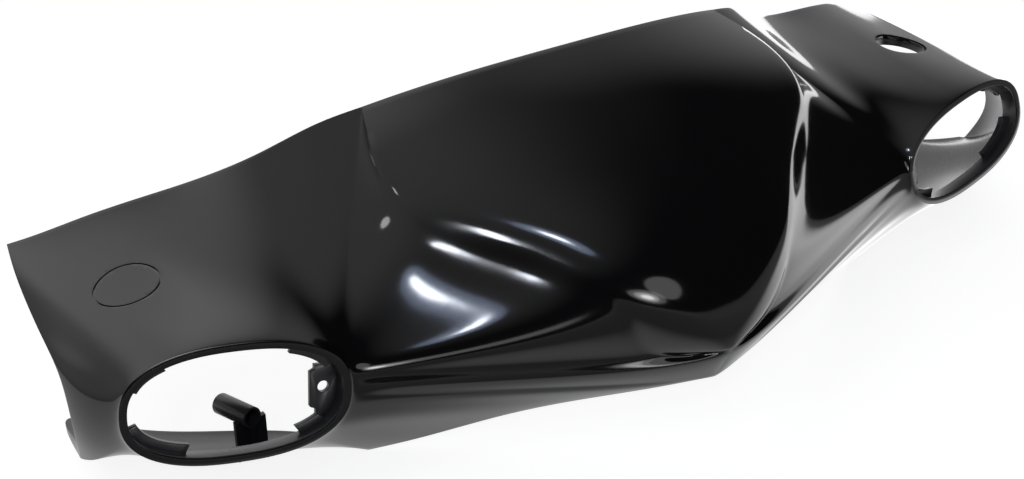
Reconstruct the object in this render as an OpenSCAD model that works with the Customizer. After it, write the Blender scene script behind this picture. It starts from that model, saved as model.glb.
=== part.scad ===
// Handlebar cover: one thin moulded shell, open at the rear, underneath and at both ends.
// X runs along the bar, Y from the nose to the rear edge and Z is up.
// The origin lies under the middle, on the surface that the cover rests on.

/* [Shell] */
// Thickness of the wall
wall = 2.5; // [2:0.1:3]
// Width of the flat lip round each indicator opening
lip_w = 3.2; // [2.8:0.1:3.6]
// Mesh steps between one rib and the next
steps = 3; // [2:1:4]
// Mesh steps along a rib, from the indicator opening to the outer edge
rings = 10; // [6:1:12]
// Mesh steps from the middle of the nose panel to its style line
nose_steps = 7; // [4:1:10]

/* [Indicator opening] */
// Half of the opening's length
oval_long = 43.7; // [43:0.1:45]
// Half of the opening's height
oval_high = 21.6; // [21:0.1:23]
// Squareness of the opening, 2 for an ellipse
oval_power = 2.4; // [2:0.1:2.6]
// Rise of the opening's outer end, in degrees
oval_rise = 8.4; // [7:0.1:10]
// Depth of the sleeve behind the lip
sleeve_depth = 9; // [6:0.5:10]
// Thickness of the sleeve
sleeve_wall = 2; // [1.5:0.1:2.2]
// How far the locating lugs stand in from the sleeve
lug_reach = 3.5; // [2:0.5:5]

/* [Mirror hole] */
// Radius of the hole for the mirror stem
hole_r = 14; // [12:0.5:15]
// Depth of the collar under the mirror hole
collar_depth = 6; // [4:0.5:8]
// Thickness of the collar
collar_wall = 3; // [2:0.5:4]
// Width of the knock-out groove on the side without a mirror
groove_w = 0.8; // [0.6:0.1:1.2]
// Depth of the knock-out groove
groove_depth = 0.9; // [0.6:0.1:1.2]

/* [Screw points] */
// Outer radius of the screw boss
boss_r = 4.7; // [4.4:0.1:5.2]
// Radius of the wide bore that takes the screw's head
boss_bore_r = 3.7; // [3.3:0.1:3.8]
// Radius of the screw hole through the end of the boss
boss_hole_r = 2.2; // [1.5:0.1:2.6]
// Length of the boss
boss_len = 21; // [16:1:24]
// Thickness of the boss's end wall
boss_end = 3; // [2:0.5:4]
// Thickness of the web under the boss
web_t = 2.5; // [2:0.1:3]
// Radius of the screw hole in the tab
tab_hole_r = 2.4; // [2:0.1:2.6]
// Thickness of the tab
tab_t = 2.5; // [2:0.1:3]

/* [Hidden] */
$fn = 48;

// Each rib runs over the wing from the indicator opening to the outer edge. It is given by its
// angle round the opening, its end on the edge, the guide point it approaches that end from,
// and the length over which it leaves the opening straight.
rear_edge = [
    [152, [99, 48, 124.5], [112, 31, 112], 8],
    [142, [120, 56, 117.5], [129, 36, 105], 10],
    [130, [142, 68, 104.5], [147, 46, 97], 12],
    [115, [166, 78, 95], [168, 50, 91.5], 14],
    [100, [190, 82, 91.5], [192, 50, 85], 14],
    [82, [214, 87.5, 87], [214, 52, 81.5], 14],
    [66, [234, 95, 80.5], [232, 57, 78], 14],
    [50, [248, 103, 75], [241, 62, 77.5], 13]];
end_edge = [
    rear_edge[7],
    [36, [252.5, 76, 72.5], [245, 46, 78], 11],
    [23, [256, 40, 68.5], [251, 16, 74], 9],
    [9, [258.5, 10, 65], [256, -10, 68], 7],
    [-8, [259.5, -0.5, 48], [257, -14, 50], 7],
    [-24, [256.5, 8, 24], [253, -10, 30], 7]];
foot_edge = [
    end_edge[5],
    [-40, [251, 42, 9], [247, 8, 16], 9],
    [-56, [245, 57, 5.5], [240, 20, 7.5], 12],
    [-74, [225, 39, 3], [222, 6, 3.5], 13],
    [-92, [195, 19, 2], [195, -6, 1], 13],
    [-110, [165, -1, 2], [170, -16, 2], 12],
    [-128, [141.5, -24.6, 0], [151, -28, 7], 10]];
lower_edge = [
    foot_edge[6],
    [-141, [118, -34.5, 4], [128, -39, 16], 9],
    [-152, [88, -49, 12], [101, -54, 23], 8],
    [-161, [58, -62.5, 16.5], [73, -67, 27], 8],
    [-168, [28, -77, 20], [46, -79.5, 28], 8],
    [-174, [0, -86, 21], [20, -89, 25], 8]];
nose_tip = [
    lower_edge[5],
    [-179, [0, -95, 40], [24, -92, 31], 8]];
style_line = [
    nose_tip[1],
    [-184, [31, -83, 43], [51, -79, 46], 8],
    [-187.5, [44, -79, 63], [60, -75, 54], 8],
    [-191, [56.5, -67, 78.5], [68, -68, 61], 8],
    [-195, [76, -47, 85.5], [85, -54, 66], 8],
    [-199, [99, -23, 95.5], [104, -33, 75], 8],
    [-203.5, [111, 6, 111], [115, -5, 92], 8],
    [-208, rear_edge[0][1], rear_edge[0][2], 8]];

// Ridge of the nose panel, from its tip to the rear edge, one point for each style line rib
nose_ridge = [[0, -95, 40], [0, -93.5, 52], [0, -89, 66], [0, -79, 82], [0, -62, 96],
    [0, -38, 109], [0, -4, 123], [0, 38, 133.4]];

// Fullness of the nose panel's arch, 2 for a parabola
nose_crown = 3;

// Middle of the indicator opening, and the way that it faces
oval_mid = [203, -36.2, 58];
oval_face = unit([0.126, -1, 0.263]);
// Directions along the opening and up it
oval_side = unit(cross([0, 0, 1], oval_face));
oval_up = cross(oval_face, oval_side);
oval_along = oval_side * cos(oval_rise) + oval_up * sin(oval_rise);
oval_across = oval_up * cos(oval_rise) - oval_side * sin(oval_rise);

// Middle of the mirror hole on the outer face, and the way that it faces
hole_mid = [219.6, 32.1, 82.2];
hole_face = unit([0.163, 0, 1]);

function unit(v) = v / norm(v);

// Smooth curves. The controls are relaxed until the curve passes through every given point.
relax_rounds = 24;
function relax_open(p, c, k = relax_rounds) = k == 0 ? c : relax_open(p,
    [for (i = [0:len(p) - 1]) i == 0 || i == len(p) - 1 ? p[i]
        : (6 * p[i] - c[i - 1] - c[i + 1]) / 4], k - 1);
function relax_loop(p, c, k = relax_rounds) = k == 0 ? c : relax_loop(p,
    let (n = len(p)) [for (i = [0:n - 1])
        (6 * p[i] - c[(i + n - 1) % n] - c[(i + 1) % n]) / 4], k - 1);
function blend(a, b, c, d, f) = (pow(1 - f, 3) * a + (3 * pow(f, 3) - 6 * f * f + 4) * b
    + (-3 * pow(f, 3) + 3 * f * f + 3 * f + 1) * c + pow(f, 3) * d) / 6;
function open_at(c, t) = let (n = len(c), i = min(floor(t), n - 2))
    blend(i == 0 ? 2 * c[0] - c[1] : c[i - 1], c[i], c[i + 1],
        i == n - 2 ? 2 * c[n - 1] - c[n - 2] : c[i + 2], t - i);
function loop_at(c, t) = let (n = len(c), i = floor(t) % n)
    blend(c[(i + n - 1) % n], c[i], c[(i + 1) % n], c[(i + 2) % n], t - floor(t));
function bezier(a, b, c, d, s) = pow(1 - s, 3) * a + 3 * pow(1 - s, 2) * s * b
    + 3 * (1 - s) * s * s * c + pow(s, 3) * d;

// The edges in turn round the wing, and what their ribs say
edges = [rear_edge, end_edge, foot_edge, lower_edge, nose_tip, style_line];
ribs = [for (e = edges) for (i = [0:len(e) - 2]) e[i]];
rib_count = len(ribs);
stations = rib_count * steps;
style_start = stations - (len(style_line) - 1) * steps;
tip_start = style_start - steps;
turn = -360 / rib_count;
swing = [for (i = [0:rib_count - 1]) ribs[i][0] - turn * i];
swing_ctrl = relax_loop(swing, swing);
guides = [for (r = ribs) r[2]];
guide_ctrl = relax_loop(guides, guides);
leaves = [for (r = ribs) r[3]];
leave_ctrl = relax_loop(leaves, leaves);
function edge_run(e) = let (p = [for (r = e) r[1]], c = relax_open(p, p))
    [for (k = [0:(len(e) - 1) * steps - 1]) open_at(c, k / steps)];
edge_pts = [for (e = edges) each edge_run(e)];

// A point of the opening's outline, let out by grow
function power(v) = sign(v) * pow(abs(v), 2 / oval_power);
function oval_flat(a, grow) = [(oval_long + grow) * power(cos(a)), (oval_high + grow) * power(sin(a))];
function oval_point(a, grow) = let (p = oval_flat(a, grow))
    oval_mid + p[0] * oval_along + p[1] * oval_across;
// How far the wing flares out as it leaves the lip, most at the top and at the inner end
flare_mean = 0.25;
flare_swing = 0.2;
function flare(a) = flare_mean + flare_swing * (sin(a) - cos(a));
function leave_way(a) = unit(flare(a) * unit(oval_point(a, 10) - oval_point(a, 0)) - oval_face);

// The wing on the right: one bezier rib for each station round the opening
function station(j) = let (t = j / steps, a = turn * t + loop_at(swing_ctrl, t),
        start = oval_point(a, lip_w))
    [a, start, start + loop_at(leave_ctrl, t) * leave_way(a), loop_at(guide_ctrl, t), edge_pts[j]];
wing_ribs = [for (j = [0:stations - 1]) station(j)];
wing = [for (i = [0:rings]) [for (r = wing_ribs) bezier(r[1], r[2], r[3], r[4], i / rings)]];

// The nose panel: it arches from one style line over the ridge to the other
nose_rows = stations - style_start;
ridge_ctrl = relax_open(nose_ridge, nose_ridge);
function nose_point(r, c) = let (e = edge_pts[(style_start + r) % stations],
        m = open_at(ridge_ctrl, r / steps), s = c / nose_steps - 1, k = 1 - pow(abs(s), nose_crown))
    [s * e[0], e[1] + (m[1] - e[1]) * k, e[2] + (m[2] - e[2]) * k];
nose = [for (r = [0:nose_rows]) [for (c = [0:2 * nose_steps]) nose_point(r, c)]];

// Outward directions on both grids, worked out from the neighbouring points
function wing_out(i, j) = let (a = wing[max(i - 1, 0)][j], b = wing[min(i + 1, rings)][j],
        c = wing[i][(j + stations - 1) % stations], d = wing[i][(j + 1) % stations])
    unit(cross(d - c, b - a));
function nose_out(r, c) = let (q = max(r, 1), a = nose[q - 1][c], b = nose[min(q + 1, nose_rows)][c],
        d = nose[q][max(c - 1, 0)], e = nose[q][min(c + 1, 2 * nose_steps)])
    unit(cross(e - d, b - a));
// On the style line both grids share a point, and on the middle plane the wall has no side way
function wing_shared(i, j) = i < rings || j < tip_start ? wing_out(i, j)
    : j < style_start ? unit([0, wing_out(i, j)[1], wing_out(i, j)[2]])
    : j == style_start ? unit([0, wing_out(i, j)[1], wing_out(i, j)[2]] + nose_out(1, nose_steps))
    : unit(wing_out(i, j) + nose_out(j - style_start, 2 * nose_steps));
corner_out = unit(wing_out(rings, 0) + nose_out(nose_rows, 2 * nose_steps));
function wing_in(i, j) = i == 0 ? oval_point(wing_ribs[j][0], 0)
    : wing[i][j] - wall * (i == rings && j == 0 ? corner_out
        : i == rings && j == tip_start ? unit([0, wing_out(i, j - 1)[1], wing_out(i, j - 1)[2]])
        : wing_shared(i, j));
function nose_in(r, c) = nose[r][c] - wall * nose_out(r, c);

// All points: outer skin, then inner skin, each as right wing, left wing and nose panel
function mirrored(p) = [-p[0], p[1], p[2]];
wing_size = (rings + 1) * stations;
skin_size = 2 * wing_size + (nose_rows + 1) * (2 * nose_steps + 1);
wing_inner = [for (i = [0:rings]) [for (j = [0:stations - 1]) wing_in(i, j)]];
nose_inner = [for (r = [0:nose_rows]) [for (c = [0:2 * nose_steps]) nose_in(r, c)]];
function skin_points(w, n) = concat([for (row = w) each row],
    [for (row = w) for (p = row) mirrored(p)], [for (row = n) each row]);
shell_points = concat(skin_points(wing, nose), skin_points(wing_inner, nose_inner));

// Numbers of the points: k is 0 for the outer skin and 1 for the inner one
function on_middle(i, j) = i == rings && j >= tip_start && j <= style_start;
function wing_id(k, side, i, j) = let (m = (j + stations) % stations)
    k * skin_size + (on_middle(i, m) ? 0 : side) * wing_size + i * stations + m;
function nose_id(k, r, c) = r == 0 ? wing_id(k, 0, rings, style_start)
    : c == 2 * nose_steps ? wing_id(k, 0, rings, style_start + r)
    : c == 0 ? wing_id(k, 1, rings, style_start + r)
    : k * skin_size + 2 * wing_size + r * (2 * nose_steps + 1) + c;
// Two triangles of a four-cornered patch, turned over where over is true
function patch(a, b, c, d, over) = over ? [[a, d, c], [a, c, b]] : [[a, b, c], [a, c, d]];
function whole(faces) = [for (f = faces) if (f[0] != f[1] && f[1] != f[2] && f[2] != f[0]) f];
shell_faces = whole([for (k = [0, 1]) each concat(
    [for (side = [0, 1]) for (i = [0:rings - 1]) for (j = [0:stations - 1])
        each patch(wing_id(k, side, i, j), wing_id(k, side, i + 1, j),
            wing_id(k, side, i + 1, j + 1), wing_id(k, side, i, j + 1), k != side)],
    [for (r = [0:nose_rows - 1]) for (c = [0:2 * nose_steps - 1])
        each patch(nose_id(k, r, c), nose_id(k, r + 1, c),
            nose_id(k, r + 1, c + 1), nose_id(k, r, c + 1), k == 1)])]);
// The lips round the openings, the edges of the wings and the rear edge of the nose panel
rim_faces = whole(concat(
    [for (side = [0, 1]) for (j = [0:stations - 1])
        each patch(wing_id(0, side, 0, j), wing_id(0, side, 0, j + 1),
            wing_id(1, side, 0, j + 1), wing_id(1, side, 0, j), side == 1)],
    [for (side = [0, 1]) for (j = [0:tip_start - 1])
        each patch(wing_id(0, side, rings, j), wing_id(0, side, rings, j + 1),
            wing_id(1, side, rings, j + 1), wing_id(1, side, rings, j), side == 0)],
    [for (c = [0:2 * nose_steps - 1])
        each patch(nose_id(0, nose_rows, c), nose_id(0, nose_rows, c + 1),
            nose_id(1, nose_rows, c + 1), nose_id(1, nose_rows, c), true)]));

module skin() {
    polyhedron(points = shell_points, faces = concat(shell_faces, rim_faces));
}

// Lays what is drawn in the plane of the opening, X along it and Z out of it
module at_opening() {
    multmatrix([for (k = [0:2]) [oval_along[k], oval_across[k], oval_face[k], oval_mid[k]]])
        children();
}
// Stands what is drawn along a direction from a point
module along(from, way) {
    translate(from) rotate([0, acos(way[2] / norm(way)), atan2(way[1], way[0])]) children();
}
// Both arms get the same pieces
module both_arms() {
    children();
    mirror([1, 0, 0]) children();
}

// Sleeve behind the lip, with the lugs that locate the indicator
sleeve_sides = 60;
sleeve_inset = 0.6;
lug_arcs = [[18, 52], [120, 157], [214, 236], [293, 345]];
lug_depth = 3;
lug_steps = 6;
function lug_side(a, grow) = [for (k = [0:lug_steps])
    oval_flat(a[0] + (a[1] - a[0]) * k / lug_steps, grow)];
module sleeve() {
    translate([0, 0, -sleeve_depth]) linear_extrude(sleeve_depth - sleeve_inset) difference() {
        polygon([for (k = [0:sleeve_sides - 1]) oval_flat(k * 360 / sleeve_sides, sleeve_wall)]);
        polygon([for (k = [0:sleeve_sides - 1]) oval_flat(k * 360 / sleeve_sides, 0)]);
    }
    for (a = lug_arcs) translate([0, 0, -sleeve_depth]) linear_extrude(lug_depth)
        polygon(concat(lug_side(a, sleeve_wall / 2), lug_side([a[1], a[0]], -lug_reach)));
}

// Tab across the inner end of the opening, for the indicator's screw
tab_hole = [-37.7, -0.7];
tab_free = -32;
tab_low = -19;
tab_high = 9;
tab_root = -47;
tab_sink = 0.5;
module tab() {
    translate([tab_root, tab_low, -sleeve_depth - tab_t])
        cube([tab_free - tab_root, tab_high - tab_low, tab_t + tab_sink]);
}
module tab_bore() {
    translate([tab_hole[0], tab_hole[1], -sleeve_depth - 2 * tab_t])
        cylinder(h = 4 * tab_t, r = tab_hole_r);
}

// Screw boss that lies over the foot on a web, with a second web across it
boss_mouth = [187, -8, 26];
boss_tail = [192.5, 12, 23];
boss_way = unit(boss_tail - boss_mouth);
web_inset = 0.5;
web_len = 12;
cross_inset = 2;
cross_half = 7;
foot_z = 1.5;
web_h = boss_mouth[2] - foot_z;
module boss() {
    along(boss_mouth, boss_way) cylinder(h = boss_len, r = boss_r);
    translate(boss_mouth + [-web_t / 2, web_inset, -web_h]) cube([web_t, web_len, web_h]);
    translate(boss_mouth + [-cross_half, cross_inset, -web_h])
        cube([2 * cross_half, web_t, web_h - boss_r / 2]);
}
module boss_bore() {
    along(boss_mouth - boss_way, boss_way) cylinder(h = boss_len - boss_end + 1, r = boss_bore_r);
    along(boss_mouth, boss_way) cylinder(h = boss_len + boss_end, r = boss_hole_r);
}

// Collar under the mirror hole, and the groove of the knock-out on the other arm
module collar() {
    along(hole_mid - hole_face * collar_depth, hole_face)
        cylinder(h = collar_depth - wall / 2, r = hole_r + collar_wall);
}
module mirror_bore() {
    along(hole_mid - hole_face * 2 * collar_depth, hole_face)
        cylinder(h = 4 * collar_depth, r = hole_r);
}
module knock_out_groove() {
    along(mirrored(hole_mid) - mirrored(hole_face) * groove_depth, mirrored(hole_face))
        difference() {
            cylinder(h = 3 * groove_depth, r = hole_r + groove_w / 2);
            translate([0, 0, -groove_depth])
                cylinder(h = 5 * groove_depth, r = hole_r - groove_w / 2);
        }
}

// Shift that brings the middle of the cover's depth over the origin
depth_mid = 4;
module handlebar_cover() {
    color("#101012") translate([0, -depth_mid, 0]) difference() {
        union() {
            skin();
            both_arms() {
                at_opening() {
                    sleeve();
                    tab();
                }
                boss();
            }
            collar();
        }
        both_arms() {
            at_opening() tab_bore();
            boss_bore();
        }
        mirror_bore();
        knock_out_groove();
    }
}

handlebar_cover();
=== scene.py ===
# %% [markdown]
# This lesson dresses a moulded handlebar cover. The imported model gives the frame: the place and
# the size of everything. It is loaded first.

# %% Load the frame
import math

import bpy
import numpy as np
from mathutils import Matrix, Vector


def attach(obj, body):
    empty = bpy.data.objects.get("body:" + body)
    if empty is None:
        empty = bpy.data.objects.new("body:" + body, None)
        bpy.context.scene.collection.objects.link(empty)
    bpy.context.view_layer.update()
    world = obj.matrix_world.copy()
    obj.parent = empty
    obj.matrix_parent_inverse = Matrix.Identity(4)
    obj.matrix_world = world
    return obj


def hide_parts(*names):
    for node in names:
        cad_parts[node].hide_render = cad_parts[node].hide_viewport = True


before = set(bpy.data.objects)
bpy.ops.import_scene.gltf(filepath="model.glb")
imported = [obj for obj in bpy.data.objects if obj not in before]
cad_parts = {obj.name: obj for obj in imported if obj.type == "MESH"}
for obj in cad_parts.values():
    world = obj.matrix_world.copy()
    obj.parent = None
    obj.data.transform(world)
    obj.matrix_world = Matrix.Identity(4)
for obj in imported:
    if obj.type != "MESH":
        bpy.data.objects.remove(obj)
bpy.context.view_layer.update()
MM = 0.001

# %% [markdown]
# The camera stands where the photographer stood: to the left of the nose and above it. A long
# lens keeps the far arm from looking small. The place and the angles were worked out from the
# mirror symmetry of the two arms, so they are set as plain numbers.

# %% Camera
CAMERA_PLACE = (-387.1, -521.4, 440.3)
CAMERA_TURN = 32.99
CAMERA_DROP = 31.33
LENS = 56.17
SENSOR_W = 36
NEAREST = 10 * MM

camera = bpy.data.objects.new("camera", bpy.data.cameras.new("camera"))
bpy.context.collection.objects.link(camera)
camera.location = Vector(CAMERA_PLACE) * MM
camera.rotation_euler = (math.radians(90 - CAMERA_DROP), 0, -math.radians(CAMERA_TURN))
camera.data.lens = LENS
camera.data.sensor_width = SENSOR_W
camera.data.clip_start = NEAREST
bpy.context.scene.camera = camera
print("camera", CAMERA_DROP, "degrees above the floor")

# %% [markdown]
# Colours are written as sRGB hex values, as a paint chart gives them, and one function turns
# them into the linear values that shaders work in. One more function adds a shader node, sets
# its inputs and links them, so that each material below reads as a short list.

# %% Helpers for colours and nodes
def colour(hex_value):
    """Linear RGBA of an sRGB hex colour."""
    parts = [int(hex_value[i:i + 2], 16) / 255 for i in (1, 3, 5)]
    linear = [p / 12.92 if p <= 0.04045 else ((p + 0.055) / 1.055) ** 2.4 for p in parts]
    return (*linear, 1)


def add_node(tree, kind, inputs=(), **settings):
    """Adds a node. A value that is a socket is linked, and any other value is set."""
    node = tree.nodes.new(kind)
    for name, value in settings.items():
        setattr(node, name, value)
    for name, value in dict(inputs).items():
        if isinstance(value, bpy.types.NodeSocket):
            tree.links.new(value, node.inputs[name])
        else:
            node.inputs[name].default_value = value
    return node


def new_material(name):
    """An empty node material, with its tree and its output node."""
    material = bpy.data.materials.new(name)
    material.use_nodes = True
    material.node_tree.nodes.clear()
    return material, material.node_tree, material.node_tree.nodes.new("ShaderNodeOutputMaterial")


print("mid grey in linear light:", round(colour("#808080")[0], 4))

# %% [markdown]
# The cover is injection-moulded ABS, dyed black right through and polished in the mould. Such a
# face is nearly a mirror: it shows the lamps and the floor, and hardly any colour of its own.
# What gives it away as plastic is a very faint waviness, called orange peel, and a gloss that
# changes a little from place to place. Both come from noise whose scale is given in millimetres.

# %% Gloss black plastic
PEEL_MM = 7
CLOUD_MM = 60
PEEL_HEIGHT_MM = 0.012


def moulded_gloss_abs():
    material, tree, output = new_material("moulded_gloss_abs")
    place = add_node(tree, "ShaderNodeTexCoord").outputs["Object"]
    peel = add_node(tree, "ShaderNodeTexNoise", {"Vector": place, "Scale": 1 / (PEEL_MM * MM),
                                                 "Detail": 1, "Roughness": 0.4})
    cloud = add_node(tree, "ShaderNodeTexNoise", {"Vector": place, "Scale": 1 / (CLOUD_MM * MM),
                                                  "Detail": 3, "Roughness": 0.5})
    gloss = add_node(tree, "ShaderNodeMapRange", {"Value": cloud.outputs["Fac"], "From Min": 0.3,
                                                  "From Max": 0.7, "To Min": 0.07, "To Max": 0.1})
    bump = add_node(tree, "ShaderNodeBump", {"Height": peel.outputs["Fac"], "Strength": 0.6,
                                             "Distance": PEEL_HEIGHT_MM * MM})
    shader = add_node(tree, "ShaderNodeBsdfPrincipled", {
        "Base Color": colour("#0d0d0f"), "IOR": 1.56, "Roughness": gloss.outputs["Result"],
        "Normal": bump.outputs["Normal"]})
    tree.links.new(shader.outputs["BSDF"], output.inputs["Surface"])
    return material


gloss_abs = moulded_gloss_abs()
print("made", gloss_abs.name)

# %% [markdown]
# Inside, the same plastic comes off the plain core of the mould, which isn't polished. It is
# satin and finely grained. Its colour is set lighter than the outer black: painted light that
# brightens the inner faces.

# %% Satin black plastic of the inner side
GRAIN_MM = 0.8
GRAIN_HEIGHT_MM = 0.03


def moulded_satin_abs():
    material, tree, output = new_material("moulded_satin_abs")
    place = add_node(tree, "ShaderNodeTexCoord").outputs["Object"]
    grain = add_node(tree, "ShaderNodeTexNoise", {"Vector": place, "Scale": 1 / (GRAIN_MM * MM),
                                                  "Detail": 2, "Roughness": 0.5})
    cloud = add_node(tree, "ShaderNodeTexNoise", {"Vector": place, "Scale": 1 / (CLOUD_MM * MM),
                                                  "Detail": 3, "Roughness": 0.5})
    gloss = add_node(tree, "ShaderNodeMapRange", {"Value": cloud.outputs["Fac"], "From Min": 0.3,
                                                  "From Max": 0.7, "To Min": 0.24, "To Max": 0.32})
    bump = add_node(tree, "ShaderNodeBump", {"Height": grain.outputs["Fac"], "Strength": 0.5,
                                             "Distance": GRAIN_HEIGHT_MM * MM})
    # Painted light: this base colour is lighter than the outer black so that the inner faces look
    # brighter.
    shader = add_node(tree, "ShaderNodeBsdfPrincipled", {
        "Base Color": colour("#2c2c2f"), "IOR": 1.5, "Roughness": gloss.outputs["Result"],
        "Normal": bump.outputs["Normal"]})
    tree.links.new(shader.outputs["BSDF"], output.inputs["Surface"])
    return material


satin_abs_painted_light = moulded_satin_abs()
print("made", satin_abs_painted_light.name)

# %% [markdown]
# The shell is a freeform surface, so its points are computed. The wing on each arm is a fan of
# ribs. Each rib is a curve that starts at the oval lip, leaves it straight, and runs out to a
# point on the outer edge. Every rib is one row below, in millimetres: its angle round the oval,
# its end point, a guide point that steers the end, and the length over which it leaves the lip.

# %% Ribs of the wing
REAR_EDGE = [
    (152, (99, 48, 124.5), (112, 31, 112), 8),
    (142, (120, 56, 117.5), (129, 36, 105), 10),
    (130, (142, 68, 104.5), (147, 46, 97), 12),
    (115, (166, 78, 95), (168, 50, 91.5), 14),
    (100, (190, 82, 91.5), (192, 50, 85), 14),
    (82, (214, 87.5, 87), (214, 52, 81.5), 14),
    (66, (234, 95, 80.5), (232, 57, 78), 14),
    (50, (248, 103, 75), (241, 62, 77.5), 13)]
END_EDGE = [
    REAR_EDGE[7],
    (36, (252.5, 76, 72.5), (245, 46, 78), 11),
    (23, (256, 40, 68.5), (251, 16, 74), 9),
    (9, (258.5, 10, 65), (256, -10, 68), 7),
    (-8, (259.5, -0.5, 48), (257, -14, 50), 7),
    (-24, (256.5, 8, 24), (253, -10, 30), 7)]
FOOT_EDGE = [
    END_EDGE[5],
    (-40, (251, 42, 9), (247, 8, 16), 9),
    (-56, (245, 57, 5.5), (240, 20, 7.5), 12),
    (-74, (225, 39, 3), (222, 6, 3.5), 13),
    (-92, (195, 19, 2), (195, -6, 1), 13),
    (-110, (165, -1, 2), (170, -16, 2), 12),
    (-128, (141.5, -24.6, 0), (151, -28, 7), 10)]
LOWER_EDGE = [
    FOOT_EDGE[6],
    (-141, (118, -34.5, 4), (128, -39, 16), 9),
    (-152, (88, -49, 12), (101, -54, 23), 8),
    (-161, (58, -62.5, 16.5), (73, -67, 27), 8),
    (-168, (28, -77, 20), (46, -79.5, 28), 8),
    (-174, (0, -86, 21), (20, -89, 25), 8)]
NOSE_TIP = [
    LOWER_EDGE[5],
    (-179, (0, -95, 40), (24, -92, 31), 8)]
STYLE_LINE = [
    NOSE_TIP[1],
    (-184, (31, -83, 43), (51, -79, 46), 8),
    (-187.5, (44, -79, 63), (60, -75, 54), 8),
    (-191, (56.5, -67, 78.5), (68, -68, 61), 8),
    (-195, (76, -47, 85.5), (85, -54, 66), 8),
    (-199, (99, -23, 95.5), (104, -33, 75), 8),
    (-203.5, (111, 6, 111), (115, -5, 92), 8),
    (-208, REAR_EDGE[0][1], REAR_EDGE[0][2], 8)]
NOSE_RIDGE = [(0, -95, 40), (0, -93.5, 52), (0, -89, 66), (0, -79, 82), (0, -62, 96),
              (0, -38, 109), (0, -4, 123), (0, 38, 133.4)]
EDGES = [REAR_EDGE, END_EDGE, FOOT_EDGE, LOWER_EDGE, NOSE_TIP, STYLE_LINE]
ribs = [rib for edge in EDGES for rib in edge[:-1]]
print("ribs in each wing:", len(ribs))

# %% [markdown]
# Smooth curves run from rib to rib. They are cubic splines, whose controls are relaxed until
# the curve passes through every given point. An open curve serves an edge between two corners,
# and a closed one serves what goes right round the opening.

# %% Splines
RELAX_ROUNDS = 40


def weights(part):
    """The four weights of a uniform cubic spline, a part of the way along a span."""
    return [(1 - part) ** 3 / 6, (3 * part ** 3 - 6 * part ** 2 + 4) / 6,
            (-3 * part ** 3 + 3 * part ** 2 + 3 * part + 1) / 6, part ** 3 / 6]


def open_curve(points, places):
    """Points of an open curve through the given ones. A place counts spans from the start."""
    points = np.array(points, float)
    controls = points.copy()
    for _ in range(RELAX_ROUNDS):
        inner = (6 * points[1:-1] - controls[:-2] - controls[2:]) / 4
        controls = np.vstack([points[:1], inner, points[-1:]])
    controls = np.vstack([2 * controls[0] - controls[1], controls, 2 * controls[-1] - controls[-2]])
    span = np.minimum(places.astype(int), len(points) - 2)
    return sum(w[:, None] * controls[span + k] for k, w in enumerate(weights(places - span)))


def closed_curve(points, places):
    """Points of a closed curve through the given ones."""
    points = np.array(points, float)
    controls = points.copy()
    for _ in range(RELAX_ROUNDS):
        controls = (6 * points - np.roll(controls, 1, 0) - np.roll(controls, -1, 0)) / 4
    span = places.astype(int) % len(points)
    blend = weights(places - places.astype(int))
    return sum(w[:, None] * controls[(span + k - 1) % len(points)] for k, w in enumerate(blend))


print("halfway along a test curve:", open_curve([(0, 0), (2, 2), (4, 0)], np.array([1.0]))[0])

# %% [markdown]
# The oval opening is a squarish ellipse in a tilted plane. Three directions describe that
# plane: along the opening, across it, and the way it faces.

# %% The indicator opening
OVAL_MID = np.array([203, -36.2, 58])
OVAL_LONG, OVAL_HIGH, OVAL_POWER, OVAL_RISE = 43.7, 21.6, 2.4, math.radians(8.4)
LIP_W = 3.2


def unit(v):
    """The same direction with a length of one."""
    return v / np.linalg.norm(v, axis=-1, keepdims=True)


oval_face = unit(np.array([0.126, -1, 0.263]))
oval_side = unit(np.cross([0, 0, 1], oval_face))
oval_up = np.cross(oval_face, oval_side)
oval_along = oval_side * math.cos(OVAL_RISE) + oval_up * math.sin(OVAL_RISE)
oval_across = oval_up * math.cos(OVAL_RISE) - oval_side * math.sin(OVAL_RISE)


def oval_flat(angles, grow):
    """The outline in its own plane, let out by grow, for angles in degrees."""
    c, s = np.cos(np.radians(angles)), np.sin(np.radians(angles))
    power = 2 / OVAL_POWER
    return np.stack([(OVAL_LONG + grow) * np.sign(c) * abs(c) ** power,
                     (OVAL_HIGH + grow) * np.sign(s) * abs(s) ** power], -1)


def oval_point(angles, grow):
    """The outline in space, let out by grow."""
    flat = oval_flat(angles, grow)
    return OVAL_MID + flat[:, :1] * oval_along + flat[:, 1:] * oval_across


print("opening", 2 * OVAL_LONG, "by", 2 * OVAL_HIGH, "mm")

# %% [markdown]
# Now the ribs are swept round the opening to make the wing's grid of points: one row for each
# step along a rib, and one column for each step round the opening. The wing flares out as it
# leaves the lip, most at the top and at the inner end.

# %% Grid of the wing
STEPS = 12
RINGS = 44
FLARE_MEAN = 0.25
FLARE_SWING = 0.2
count = len(ribs)
stations = count * STEPS
places = np.arange(stations) / STEPS
tip_start = (count - len(STYLE_LINE)) * STEPS
style_start = tip_start + STEPS

turn = -360 / count
swing = [[rib[0] - turn * i] for i, rib in enumerate(ribs)]
angles = turn * places + closed_curve(swing, places)[:, 0]
edge_points = np.vstack([open_curve([rib[1] for rib in edge],
                                    np.arange((len(edge) - 1) * STEPS) / STEPS) for edge in EDGES])
guides = closed_curve([rib[2] for rib in ribs], places)
leaves = closed_curve([[rib[3]] for rib in ribs], places)

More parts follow.
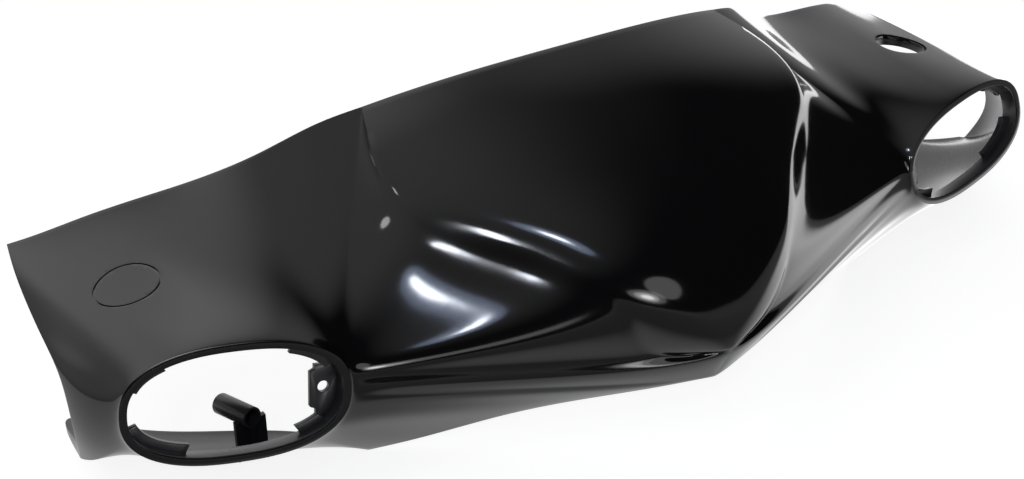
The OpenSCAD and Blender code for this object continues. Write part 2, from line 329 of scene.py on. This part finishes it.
outward = unit(oval_point(angles, LIP_W) - oval_point(angles, 0))
flare = FLARE_MEAN + FLARE_SWING * (np.sin(np.radians(angles)) - np.cos(np.radians(angles)))
starts = oval_point(angles, LIP_W)
leave_points = starts + leaves * unit(flare[:, None] * outward - oval_face)
out = np.linspace(0, 1, RINGS + 1)[:, None, None]
wing = ((1 - out) ** 3 * starts + 3 * (1 - out) ** 2 * out * leave_points
        + 3 * (1 - out) * out ** 2 * guides + out ** 3 * edge_points)
print("wing grid", wing.shape[:2], "reaches", round(float(wing[..., 0].max()), 1), "mm out")

# %% [markdown]
# The nose panel lies between the two style lines. Each of its rows is an arch from one style
# line over the ridge in the middle to the other, so the panel is smooth across the middle.

# %% Grid of the nose panel
NOSE_STEPS = 34
NOSE_CROWN = 3
nose_rows = stations - style_start
nose_edge = np.vstack([edge_points[style_start:], edge_points[:1]])
ridge = open_curve(NOSE_RIDGE, np.arange(nose_rows + 1) / STEPS)
across = np.linspace(-1, 1, 2 * NOSE_STEPS + 1)[None, :, None]
flat_edge = nose_edge * [0, 1, 1]
nose = (across * (nose_edge * [1, 0, 0])[:, None] + flat_edge[:, None]
        + (ridge - flat_edge)[:, None] * (1 - abs(across) ** NOSE_CROWN))
print("nose grid", nose.shape[:2])

# %% [markdown]
# The wall gets its thickness by setting each point in along the surface's own direction, which
# comes from the neighbouring points of the grid. On the style line the wing and the nose panel
# share their points, so the two directions are averaged there.

# %% Inner skin
WALL = 2.5


def grid_out(grid, wrap):
    """Outward directions of a grid. The columns join up where wrap is true."""
    down = np.gradient(grid, axis=0)
    if wrap:
        along = np.roll(grid, -1, 1) - np.roll(grid, 1, 1)
    else:
        along = np.gradient(grid, axis=1)
    return unit(np.cross(along, down))


nose_out = grid_out(nose[1:], False)
nose_out = np.concatenate([nose_out[:1], nose_out])
wing_out = grid_out(wing, True)
middle = slice(tip_start, style_start + 1)
wing_out[-1, tip_start] = wing_out[-1, tip_start - 1]
wing_out[-1, style_start] = wing_out[-1, style_start - 1]
wing_out[-1, middle] = unit(wing_out[-1, middle] * [0, 1, 1])
wing_out[-1, style_start] += nose_out[1, NOSE_STEPS]
wing_out[-1, style_start + 1:] += nose_out[1:nose_rows, -1]
wing_out[-1, 0] += nose_out[nose_rows, -1]
wing_out = unit(wing_out)
wing_inner = wing - WALL * wing_out
wing_inner[0] = oval_point(angles, 0)
nose_inner = nose - WALL * nose_out
print("wall", WALL, "mm")

# %% [markdown]
# The grids become one closed mesh. Points that the wings and the nose panel share get the same
# number, so there is no seam, and short strips close the lips and the outer edges.

# %% Closed shell
wing_size = (RINGS + 1) * stations
nose_cols = 2 * NOSE_STEPS + 1
skin_size = 2 * wing_size + (nose_rows + 1) * nose_cols
MIRROR = np.array([-1, 1, 1])


def skin_points(wing_grid, nose_grid):
    """All points of one skin: right wing, left wing and nose panel."""
    flat = wing_grid.reshape(-1, 3)
    return np.vstack([flat, flat * MIRROR, nose_grid.reshape(-1, 3)])


def wing_id(skin, side, i, j):
    """Number of a wing point. The two wings share their points on the middle plane."""
    j = j % stations
    shared = i == RINGS and tip_start <= j <= style_start
    return skin * skin_size + (0 if shared else side) * wing_size + i * stations + j


def nose_id(skin, r, c):
    """Number of a nose point. On the style lines it is the wing's own point."""
    if r == 0:
        return wing_id(skin, 0, RINGS, style_start)
    if c in (0, nose_cols - 1):
        return wing_id(skin, 1 if c == 0 else 0, RINGS, style_start + r)
    return skin * skin_size + 2 * wing_size + r * nose_cols + c


def patch(corners, over):
    """A face from four corners, with repeated corners left out."""
    face = list(dict.fromkeys(corners[::-1] if over else corners))
    return face if len(face) > 2 else None


skin_faces = {0: [], 1: []}
for skin in (0, 1):
    for side in (0, 1):
        for i in range(RINGS):
            for j in range(stations):
                corners = [wing_id(skin, side, i, j), wing_id(skin, side, i, j + 1),
                           wing_id(skin, side, i + 1, j + 1), wing_id(skin, side, i + 1, j)]
                skin_faces[skin].append(patch(corners, skin != side))
    for r in range(nose_rows):
        for c in range(nose_cols - 1):
            corners = [nose_id(skin, r, c), nose_id(skin, r, c + 1),
                       nose_id(skin, r + 1, c + 1), nose_id(skin, r + 1, c)]
            skin_faces[skin].append(patch(corners, skin == 1))
strip_faces = []
for side in (0, 1):
    for i, end in ((0, stations), (RINGS, tip_start)):
        for j in range(end):
            corners = [wing_id(0, side, i, j), wing_id(1, side, i, j),
                       wing_id(1, side, i, j + 1), wing_id(0, side, i, j + 1)]
            strip_faces.append(patch(corners, (i == 0) != (side == 0)))
for c in range(nose_cols - 1):
    corners = [nose_id(0, nose_rows, c), nose_id(1, nose_rows, c),
               nose_id(1, nose_rows, c + 1), nose_id(0, nose_rows, c + 1)]
    strip_faces.append(patch(corners, True))

shell_points = np.vstack([skin_points(wing, nose), skin_points(wing_inner, nose_inner)]) * MM
shell_faces = [face for face in skin_faces[0] + strip_faces + skin_faces[1] if face]
inner_from = len(shell_faces) - len([face for face in skin_faces[1] if face])
print("shell faces", len(shell_faces))

# %% [markdown]
# Python fills the mesh in one call. The points that no face uses are deleted in edit mode, and
# the faces of the inner skin get the satin material.

# %% Shell object
def select_only(obj):
    """Selects one object, and nothing else."""
    bpy.ops.object.select_all(action="DESELECT")
    obj.select_set(True)
    bpy.context.view_layer.objects.active = obj


mesh = bpy.data.meshes.new("cover_shell")
mesh.from_pydata(shell_points.tolist(), [], shell_faces)
mesh.materials.append(gloss_abs)
mesh.materials.append(satin_abs_painted_light)
mesh.polygons.foreach_set("material_index", [int(k >= inner_from) for k in range(len(shell_faces))])
shell = bpy.data.objects.new("cover_shell", mesh)
bpy.context.collection.objects.link(shell)
select_only(shell)
bpy.ops.object.mode_set(mode="EDIT")
bpy.ops.mesh.select_all(action="SELECT")
bpy.ops.mesh.delete_loose(use_verts=True, use_edges=True, use_faces=False)
bpy.ops.mesh.select_all(action="DESELECT")
bpy.ops.object.mode_set(mode="OBJECT")
print("shell vertices", len(shell.data.vertices))

# %% [markdown]
# The style line isn't knife sharp: the tool that cut the mould left it rounded. A Smooth
# modifier works on the points near the line, with weights that fade over a few millimetres.

# %% Soften the style line
CREASE_REACH = 6 * MM
CREASE_ROUNDS = 10
CREASE_PULL = 0.5
CREASE_END = 35 * MM
CREASE_FADE = 30 * MM

style_curve = np.vstack([edge_points[style_start:], edge_points[:1]]) * MM
style_curve = np.vstack([style_curve, style_curve * MIRROR])
soft = shell.vertex_groups.new(name="crease")
softened = 0
for vertex in shell.data.vertices:
    gap = np.linalg.norm(style_curve - np.array(vertex.co), axis=1).min()
    fade = min(1, (CREASE_END - vertex.co.y) / CREASE_FADE)
    if gap < CREASE_REACH and fade > 0:
        soft.add([vertex.index], fade * (1 - (gap / CREASE_REACH) ** 2), "REPLACE")
        softened += 1
select_only(shell)
smooth = shell.modifiers.new("crease", "SMOOTH")
smooth.factor = CREASE_PULL
smooth.iterations = CREASE_ROUNDS
smooth.vertex_group = soft.name
bpy.ops.object.modifier_apply(modifier=smooth.name)
print("softened points", softened)

# %% [markdown]
# The mirror hole and the groove of the knock-out are cut with cutters, as a drill would. The
# cutters are cylinders stood along the direction in which the top of the arm faces.

# %% Mirror hole and knock-out groove
HOLE_MID = Vector((219.6, 32.1, 82.2)) * MM
HOLE_FACE = Vector((0.163, 0, 1)).normalized()
HOLE_R = 14 * MM
GROOVE_W = 0.8 * MM
GROOVE_DEPTH = 0.9 * MM
DRILL_REACH = 12 * MM
OVERRUN = 1 * MM
ROUND_SIDES = 128


def flip(v):
    """The same point on the other arm."""
    return Vector((-v.x, v.y, v.z))


def cylinder_along(name, start, way, radius, depth, sides=ROUND_SIDES):
    """A closed cylinder from a start point along a direction, with its place in its mesh."""
    bpy.ops.object.select_all(action="DESELECT")
    bpy.ops.mesh.primitive_cylinder_add(vertices=sides, radius=radius, depth=depth,
                                        location=start + way * depth / 2,
                                        rotation=way.to_track_quat("Z", "Y").to_euler())
    made = bpy.context.object
    made.name = made.data.name = name
    bpy.ops.object.transform_apply(location=True, rotation=True, scale=True)
    return made


def boolean(target, cutter, kind):
    """Joins or cuts with another object, which is then removed."""
    select_only(target)
    step = target.modifiers.new(kind, "BOOLEAN")
    step.operation = kind
    step.solver = "EXACT"
    step.object = cutter
    bpy.ops.object.modifier_apply(modifier=step.name)
    bpy.data.objects.remove(cutter)


groove_way = flip(HOLE_FACE)
groove_start = flip(HOLE_MID) - groove_way * GROOVE_DEPTH
ring = cylinder_along("ring", groove_start, groove_way, HOLE_R + GROOVE_W / 2, 4 * GROOVE_DEPTH)
core = cylinder_along("core", groove_start - groove_way * OVERRUN, groove_way,
                      HOLE_R - GROOVE_W / 2, 4 * GROOVE_DEPTH + 2 * OVERRUN)
boolean(ring, core, "DIFFERENCE")
boolean(shell, ring, "DIFFERENCE")
boolean(shell, cylinder_along("drill", HOLE_MID - HOLE_FACE * DRILL_REACH, HOLE_FACE, HOLE_R,
                              2 * DRILL_REACH), "DIFFERENCE")
print("shell vertices after cutting", len(shell.data.vertices))

# %% [markdown]
# Real mouldings have no knife edges. A narrow bevel on every sharp edge catches the light as a
# fine bright line, and that line draws the lips and the outer edge.

# %% Edge rounding and smooth shading
EDGE_ROUND = 1 * MM
SHARP = math.radians(38)
BEVEL_FROM = math.radians(50)
BEVEL_STEPS = 3


def finish_edges(obj, width):
    """Bevels the sharp edges of a piece and shades the rest smooth."""
    select_only(obj)
    bevel = obj.modifiers.new("bevel", "BEVEL")
    bevel.width = width
    bevel.segments = BEVEL_STEPS
    bevel.limit_method = "ANGLE"
    bevel.angle_limit = BEVEL_FROM
    bpy.ops.object.modifier_apply(modifier=bevel.name)
    bpy.ops.object.shade_smooth_by_angle(angle=SHARP)


finish_edges(shell, EDGE_ROUND)
print("shell vertices with bevels", len(shell.data.vertices))

# %% [markdown]
# Behind each lip stands a short sleeve, which holds the indicator. It is drawn in the plane of
# the opening and stood up there by one matrix. An outline becomes a solid in two steps: a flat
# disc takes the outline's points, and an extrude gives it depth.

# %% Sleeve and lugs
SLEEVE_DEPTH = 9
SLEEVE_WALL = 2
SLEEVE_INSET = 0.6
LUG_ARCS = ((18, 52), (120, 157), (214, 236), (293, 345))
LUG_REACH = 3.5
LUG_DEPTH = 3
LUG_POINTS = 14
SLEEVE_SIDES = 180

at_opening = Matrix([[oval_along[k], oval_across[k], oval_face[k], OVAL_MID[k] * MM]
                     for k in range(3)] + [[0, 0, 0, 1]])


def prism(name, outline, low, high):
    """A closed solid over an outline in the opening's plane, between two heights in mm."""
    bpy.ops.object.select_all(action="DESELECT")
    bpy.ops.mesh.primitive_circle_add(vertices=len(outline), fill_type="NGON")
    made = bpy.context.object
    made.name = made.data.name = name
    for vertex, (x, y) in zip(made.data.vertices, outline):
        vertex.co = (x * MM, y * MM, low * MM)
    bpy.ops.object.mode_set(mode="EDIT")
    bpy.ops.mesh.select_all(action="SELECT")
    bpy.ops.mesh.extrude_region_move(TRANSFORM_OT_translate={"value": (0, 0, (high - low) * MM)})
    bpy.ops.mesh.select_all(action="SELECT")
    bpy.ops.mesh.normals_make_consistent(inside=False)
    bpy.ops.object.mode_set(mode="OBJECT")
    return made


full_turn = np.arange(SLEEVE_SIDES) * 360 / SLEEVE_SIDES
sleeve = prism("sleeve_right", oval_flat(full_turn, SLEEVE_WALL), -SLEEVE_DEPTH, -SLEEVE_INSET)
boolean(sleeve, prism("inside", oval_flat(full_turn, 0), -SLEEVE_DEPTH - 1, 1), "DIFFERENCE")
lugs = []
for first, last in LUG_ARCS:
    arc = np.linspace(first, last, LUG_POINTS)
    outline = np.vstack([oval_flat(arc, SLEEVE_WALL / 2), oval_flat(arc[::-1], -LUG_REACH)])
    lugs.append(prism(f"lug_{first}_right", outline, -SLEEVE_DEPTH, -SLEEVE_DEPTH + LUG_DEPTH))
print("lugs", len(lugs))

# %% [markdown]
# A tab closes the inner end of the opening. Its free edge is stepped, and it has a hole for the
# indicator's screw.

# %% Tab with its screw hole
TAB_OUTLINE = ((-47, -19), (-34.5, -19), (-34.5, -10), (-32, -9), (-32, 6), (-34, 7),
               (-34, 9), (-47, 9))
TAB_THICK = 2.5
TAB_SINK = 0.5
TAB_HOLE = (-37.7, -0.7)
TAB_HOLE_R = 2.4
TAB_HOLE_SIDES = 60

tab = prism("tab_right", TAB_OUTLINE, -SLEEVE_DEPTH - TAB_THICK, -SLEEVE_DEPTH + TAB_SINK)
hole_turn = np.arange(TAB_HOLE_SIDES) * math.tau / TAB_HOLE_SIDES
hole_ring = np.stack([np.cos(hole_turn), np.sin(hole_turn)], -1)
hole_outline = np.array(TAB_HOLE) + TAB_HOLE_R * hole_ring
boolean(tab, prism("tab_drill", hole_outline, -SLEEVE_DEPTH - 2 * TAB_THICK, 0), "DIFFERENCE")
print("tab hole", 2 * TAB_HOLE_R, "mm wide")

# %% [markdown]
# The screw boss is a tube that lies over the foot. Two webs that cross under it carry it. The
# wide bore takes the head of the screw, and a thin end wall with a smaller hole holds it.

# %% Screw boss on its webs
BOSS_MOUTH = Vector((187, -8, 26)) * MM
BOSS_WAY = (Vector((192.5, 12, 23)) * MM - BOSS_MOUTH).normalized()
BOSS_R, BORE_R, SCREW_R = 4.7 * MM, 3.7 * MM, 2.2 * MM
BOSS_LEN, BOSS_END = 21 * MM, 3 * MM
WEB_T, WEB_LEN, WEB_INSET = 2.5 * MM, 12 * MM, 0.5 * MM
CROSS_HALF, CROSS_INSET = 7 * MM, 2 * MM
FOOT_TOP = 3.4 * MM
BOSS_SIDES, BORE_SIDES, SCREW_SIDES = 64, 48, 32


def box(name, low, high):
    """A closed box between two corners, with its place in its mesh."""
    low, high = Vector(low), Vector(high)
    bpy.ops.object.select_all(action="DESELECT")
    bpy.ops.mesh.primitive_cube_add(size=1, location=(low + high) / 2)
    made = bpy.context.object
    made.name = made.data.name = name
    made.scale = high - low
    bpy.ops.object.transform_apply(location=True, rotation=True, scale=True)
    return made


boss = cylinder_along("boss_right", BOSS_MOUTH, BOSS_WAY, BOSS_R, BOSS_LEN, BOSS_SIDES)
web_foot = BOSS_MOUTH.z - FOOT_TOP
web = box("web_right", BOSS_MOUTH + Vector((-WEB_T / 2, WEB_INSET, -web_foot)),
          BOSS_MOUTH + Vector((WEB_T / 2, WEB_INSET + WEB_LEN, 0)))
cross_web = box("cross_web_right", BOSS_MOUTH + Vector((-CROSS_HALF, CROSS_INSET, -web_foot)),
                BOSS_MOUTH + Vector((CROSS_HALF, CROSS_INSET + WEB_T, -BOSS_R / 2)))
for part in (web, cross_web):
    boolean(boss, part, "UNION")
boolean(boss, cylinder_along("head_bore", BOSS_MOUTH - BOSS_WAY * OVERRUN, BOSS_WAY, BORE_R,
                             BOSS_LEN - BOSS_END + OVERRUN, BORE_SIDES), "DIFFERENCE")
boolean(boss, cylinder_along("screw_bore", BOSS_MOUTH, BOSS_WAY, SCREW_R,
                             BOSS_LEN + BOSS_END, SCREW_SIDES), "DIFFERENCE")
print("boss", round(BOSS_LEN / MM), "mm long")

# %% [markdown]
# Under the mirror hole a collar gives the mirror's stem a longer seat.

# %% Collar
COLLAR_DEPTH = 6 * MM
COLLAR_WALL = 3 * MM

collar = cylinder_along("collar", HOLE_MID - HOLE_FACE * COLLAR_DEPTH, HOLE_FACE,
                        HOLE_R + COLLAR_WALL, COLLAR_DEPTH - WALL / 2 * MM)
boolean(collar, cylinder_along("seat", HOLE_MID - HOLE_FACE * 2 * COLLAR_DEPTH, HOLE_FACE, HOLE_R,
                               4 * COLLAR_DEPTH), "DIFFERENCE")
print("collar", round(COLLAR_DEPTH / MM), "mm deep")

# %% [markdown]
# The fittings of one arm are stood up in its opening, finished, and copied to the other arm. A
# mirrored copy has its faces inside out, so they are turned over again.

# %% Fittings on both arms
SMALL_ROUND = 0.3 * MM

for piece in (sleeve, tab, *lugs):
    piece.data.transform(at_opening)
arm_pieces = [sleeve, tab, boss, *lugs]
for piece in (*arm_pieces, collar):
    piece.data.materials.append(satin_abs_painted_light)
    finish_edges(piece, SMALL_ROUND)
fittings = [collar]
for piece in arm_pieces:
    select_only(piece)
    bpy.ops.object.duplicate()
    twin = bpy.context.object
    twin.name = twin.data.name = piece.name.replace("right", "left")
    twin.data.transform(Matrix.Scale(-1, 4, (1, 0, 0)))
    twin.data.flip_normals()
    fittings += [piece, twin]
print("fittings", len(fittings))

# %% [markdown]
# The pieces were drawn in the cover's drawing frame. They move forward by 4 mm to the frame of
# the model, whose origin lies under the middle of its depth. Then every piece rides on the one
# body of the model and stands in for the CAD node, which is hidden.

# %% Hand a piece to the frame
COVER = "handlebar_cover"
DEPTH_MID = 4 * MM


def hand_over(piece):
    """Moves a piece to the model's frame, ties it to the body and hides the CAD node."""
    piece.data.transform(Matrix.Translation((0, -DEPTH_MID, 0)))
    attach(piece, "root")
    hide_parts(COVER)


for piece in (shell, *fittings):
    hand_over(piece)
print("handed over", 1 + len(fittings), "pieces")

# %% [markdown]
# The floor is a sheet of white paper, lit well past white, as a catalogue photo has it. It glows
# for the camera, and its plain part takes the soft shadow. Gloss black is a mirror, so the
# paper's front end shows on the cover as a line: in front of it the room is dark. A ramp along Y
# in the floor's material ends the paper's glow there for reflections. A second ramp, along X,
# paints a pool of light on the right: there the paper's glow in reflections is up to four times
# as strong. Both ramps are given in metres.

# %% Floor
FLOOR_SIZE = 12
SEEN_GLOW = 0.86
MIRRORED_GLOW = 0.6
BARE_FLOOR_GLOW = 0.03
PAPER_END = (-0.2, -0.12)
BRIGHTER_FROM = (0.02, 0.3)
BRIGHTER_BY = 4


def white_floor():
    material, tree, output = new_material("white_floor")
    path = add_node(tree, "ShaderNodeLightPath")
    mirrored = add_node(tree, "ShaderNodeMath", {0: path.outputs["Is Glossy Ray"],
                                                 1: path.outputs["Is Transmission Ray"]},
                        operation="MAXIMUM")
    place = add_node(tree, "ShaderNodeTexCoord").outputs["Object"]
    axes = add_node(tree, "ShaderNodeSeparateXYZ", {"Vector": place})
    paper = add_node(tree, "ShaderNodeMapRange", {
        "Value": axes.outputs["Y"], "From Min": PAPER_END[0], "From Max": PAPER_END[1],
        "To Min": BARE_FLOOR_GLOW, "To Max": MIRRORED_GLOW}, interpolation_type="SMOOTHSTEP")
    # Painted light: the paper's glow in reflections grows up to four times towards the right.
    right_light_pool = add_node(tree, "ShaderNodeMapRange", {
        "Value": axes.outputs["X"], "From Min": BRIGHTER_FROM[0], "From Max": BRIGHTER_FROM[1],
        "To Min": 1, "To Max": BRIGHTER_BY}, interpolation_type="SMOOTHSTEP")
    paper = add_node(tree, "ShaderNodeMath", {0: paper.outputs["Result"],
                                              1: right_light_pool.outputs["Result"]}, operation="MULTIPLY")
    seen = add_node(tree, "ShaderNodeMath", {0: path.outputs["Is Camera Ray"], 1: SEEN_GLOW},
                    operation="MULTIPLY")
    glow = add_node(tree, "ShaderNodeMath", {0: mirrored.outputs[0], 1: paper.outputs[0],
                                             2: seen.outputs[0]}, operation="MULTIPLY_ADD")
    shine = add_node(tree, "ShaderNodeEmission", {"Color": colour("#ffffff"),
                                                  "Strength": glow.outputs[0]})
    plain = add_node(tree, "ShaderNodeBsdfDiffuse", {"Color": colour("#a6a6a6")})
    both = add_node(tree, "ShaderNodeAddShader", {0: shine.outputs[0], 1: plain.outputs[0]})
    tree.links.new(both.outputs[0], output.inputs["Surface"])
    return material


bpy.ops.object.select_all(action="DESELECT")
bpy.ops.mesh.primitive_plane_add(size=FLOOR_SIZE, location=(0, 0, 0))
floor = bpy.context.object
floor.name = "floor"
floor.data.materials.append(white_floor())
print("floor", FLOOR_SIZE, "m wide")

# %% [markdown]
# Gloss black shows little but reflections, so each lamp is placed for what it looks like in the
# surface. A small soft box high in front, with a bluish glow round it, makes the bright
# highlight on the left wing. An upright strip beside it makes the streak along the nose. A dim
# lamp low in front, with two wider and weaker ones behind it, makes the soft patch on the nose.
# A box at the left adds a spot on top of the left wing, and a wide one low at the right fills
# the faces that look forward.

# %% Lamps
def soft_box(name, place, aim, size, power, tint="#ffffff"):
    """A round or oval lamp at a place, in metres, turned to a point that it lights."""
    data = bpy.data.lights.new(name, "AREA")
    data.shape = "ELLIPSE"
    data.size, data.size_y = size
    data.energy = power
    data.color = colour(tint)[:3]
    lamp = bpy.data.objects.new(name, data)
    lamp.location = place
    lamp.rotation_euler = (Vector(aim) - Vector(place)).to_track_quat("-Z", "Y").to_euler()
    bpy.context.collection.objects.link(lamp)


NOSE = (0, -0.05, 0.07)
soft_box("front_box", (-0.43, -0.9, 1.5), NOSE, (0.1, 0.07), 0.75, "#eef4ff")
soft_box("front_glow", (-0.43, -0.94, 1.54), NOSE, (0.32, 0.26), 0.6, "#c4d8ff")
soft_box("streak_strip", (-0.936, -1.087, 1.16), NOSE, (0.07, 0.26), 1.8, "#eef4ff")
soft_box("left_box", (-1.14, 0.08, 1.32), NOSE, (0.25, 0.25), 0.9)
soft_box("low_front", (-0.19, -1.84, 0.42), NOSE, (0.26, 0.18), 1.1)
soft_box("low_glow", (-0.2, -1.88, 0.44), NOSE, (0.5, 0.36), 1.6)
soft_box("low_halo", (-0.2, -1.92, 0.46), NOSE, (0.8, 0.56), 1.5)
soft_box("low_fill", (0.3, -1.8, 0.8), NOSE, (0.7, 0.8), 1.8)

# %% [markdown]
# The rest of the room is dim, with three pale areas: one high at the left, one low at the right
# behind the cover, and one straight behind it. Each is a lobe in the world's light: full
# strength inside one angle, and faded out at a wider one.

# %% Room
ROOM_BASE = 0.015
# Turn from the rear towards the right, height, full and faded half-angles, and strength
ROOM_LOBES = ((-60, 50, 25, 74, 0.5), (40, 14, 8, 40, 0.6), (4, 28, 10, 36, 0.6))

world = bpy.data.worlds.new("room")
bpy.context.scene.world = world
world.use_nodes = True
tree = world.node_tree
way = add_node(tree, "ShaderNodeTexCoord").outputs["Generated"]
total = None
for turn_deg, rise, full, faded, strength in ROOM_LOBES:
    turned, risen = math.radians(turn_deg), math.radians(rise)
    toward = (math.sin(turned) * math.cos(risen), math.cos(turned) * math.cos(risen),
              math.sin(risen))
    near = add_node(tree, "ShaderNodeVectorMath", {0: way, 1: toward}, operation="DOT_PRODUCT")
    lobe = add_node(tree, "ShaderNodeMapRange", {
        "Value": near.outputs["Value"], "From Min": math.cos(math.radians(faded)),
        "From Max": math.cos(math.radians(full)), "To Min": 0, "To Max": strength},
        interpolation_type="SMOOTHSTEP")
    total = add_node(tree, "ShaderNodeMath", {0: lobe.outputs["Result"],
                                              1: total.outputs[0] if total else ROOM_BASE},
                     operation="ADD")
room = tree.nodes["Background"]
room.inputs["Color"].default_value = colour("#ffffff")
tree.links.new(total.outputs[0], room.inputs["Strength"])
bpy.context.scene.view_settings.view_transform = "Standard"
print("room lobes", len(ROOM_LOBES))
